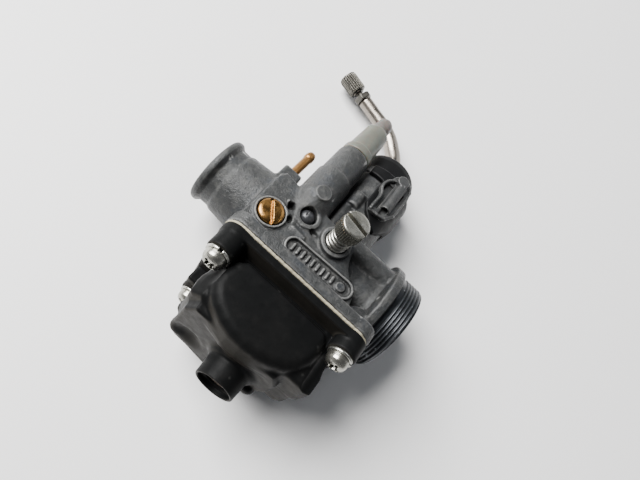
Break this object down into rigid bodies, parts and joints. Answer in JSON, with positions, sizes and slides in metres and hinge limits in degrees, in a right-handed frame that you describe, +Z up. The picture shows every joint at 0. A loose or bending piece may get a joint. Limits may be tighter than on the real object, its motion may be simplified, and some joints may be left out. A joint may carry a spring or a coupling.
{
  "type": "carburetor",
  "caption": "Slide-valve motorcycle carburetor with float bowl, bent cable guide, cold-start plunger, idle and mixture screws, spigot engine end and threaded air inlet.",
  "frame": {"origin": "centre of the bounding box in X and Y, on the surface it lies on in Z", "axes": "+X along the throttle bore out of the threaded air inlet, +Y towards the cable end, +Z up, out of the side with the adjusting screws; the slide axis leans 10.47 degrees down towards +Y"},
  "size_m": [0.0786, 0.1314, 0.0491],
  "materials": {
    "cast_alloy": "grey die casting, matt",
    "bowl_plastic": "black moulded plastic",
    "cover_plastic": "black moulded plastic",
    "gasket_fibre": "cream fibre sheet",
    "zinc_plate": "bright zinc plate",
    "brass": "turned brass",
    "nickel_plate": "nickel plate",
    "boot_rubber": "translucent grey rubber",
    "black_rubber": "black rubber",
    "steel": "plain steel",
    "float_foam": "dark closed-cell float",
    "inlet_plastic": "black moulded plastic"
  },
  "bodies": {
    "carburetor": {"carburetor_body": "cast_alloy", "cover_clamp": "cast_alloy", "vent_nipple": "brass", "passage_plug": "steel", "bowl_gasket": "gasket_fibre", "float_bowl": "bowl_plastic", "main_jet_plug": "steel", "plug_o_ring": "black_rubber", "needle_jet": "brass", "main_jet": "brass", "idle_jet": "brass", "float_needle_seat": "brass", "float_pin": "steel", "slide_return_spring": "steel", "slide_cover": "cover_plastic", "cover_gasket": "black_rubber", "cable_elbow": "nickel_plate", "choke_spring": "steel", "choke_cap": "zinc_plate", "choke_boot": "boot_rubber", "idle_speed_spring": "zinc_plate", "mixture_spring": "steel", "banjo_washer_inner": "zinc_plate", "fuel_inlet_banjo": "inlet_plastic", "banjo_washer_outer": "zinc_plate", "banjo_bolt": "brass", "bowl_lock_washer_far_left": "zinc_plate", "bowl_screw_far_left": "zinc_plate", "bowl_lock_washer_far_right": "zinc_plate", "bowl_screw_far_right": "zinc_plate", "bowl_lock_washer_near_left": "zinc_plate", "bowl_screw_near_left": "zinc_plate", "bowl_lock_washer_near_right": "zinc_plate", "bowl_screw_near_right": "zinc_plate"},
    "throttle_slide": {"throttle_slide": "nickel_plate", "jet_needle": "brass", "needle_clip": "steel", "spring_retainer": "cover_plastic"},
    "choke_plunger": {"choke_plunger": "brass"},
    "float": {"float": "float_foam"},
    "float_needle": {"float_needle": "brass"},
    "idle_speed_screw": {"idle_speed_screw": "zinc_plate"},
    "mixture_screw": {"mixture_screw": "brass"},
    "cable_adjuster": {"cable_adjuster": "nickel_plate"},
    "adjuster_lock_nut": {"adjuster_lock_nut": "nickel_plate"}
  },
  "joints": [
    {"name": "throttle_slide_lift", "type": "slide", "parent": "carburetor", "child": "throttle_slide", "axis": [0, 0.9834, -0.1817], "range_m": [0, 0.0195], "stiffness_N_per_m": 250, "springref_m": -0.02, "deforming": ["slide_return_spring"]},
    {"name": "choke_plunger_lift", "type": "slide", "parent": "carburetor", "child": "choke_plunger", "axis": [0, 0.9834, -0.1817], "range_m": [0, 0.008], "stiffness_N_per_m": 120, "springref_m": -0.008, "deforming": ["choke_spring"]},
    {"name": "float_pivot", "type": "hinge", "parent": "carburetor", "child": "float", "pos_m": [0.01945, -0.03862, 0.02449], "axis": [0, 0.1817, 0.9834], "range_deg": [0, 5]},
    {"name": "float_needle_lift", "type": "slide", "parent": "carburetor", "child": "float_needle", "axis": [0, 0.9834, -0.1817], "range_m": [-0.0004, 0]},
    {"name": "idle_speed_turn", "type": "hinge", "parent": "carburetor", "child": "idle_speed_screw", "pos_m": [0.00575, -0.01276, 0.01971], "axis": [0, 0.1817, 0.9834], "range_deg": [-720, 720]},
    {"name": "mixture_turn", "type": "hinge", "parent": "carburetor", "child": "mixture_screw", "pos_m": [-0.01515, -0.01994, 0.02104], "axis": [0, 0.1817, 0.9834], "range_deg": [-540, 540]},
    {"name": "cable_adjuster_turn", "type": "hinge", "parent": "carburetor", "child": "cable_adjuster", "pos_m": [-0.02095, 0.05912, 0.00643], "axis": [-0.9651, 0.2577, -0.0476], "range_deg": [-720, 720]},
    {"name": "lock_nut_turn", "type": "hinge", "parent": "carburetor", "child": "adjuster_lock_nut", "pos_m": [-0.02095, 0.05912, 0.00643], "axis": [-0.9651, 0.2577, -0.0476], "range_deg": [-720, 720]}
  ],
  "couplings": [
    {"joint": "float_needle_lift", "follows": "float_pivot", "m_per_rad": -0.0043}
  ]
}
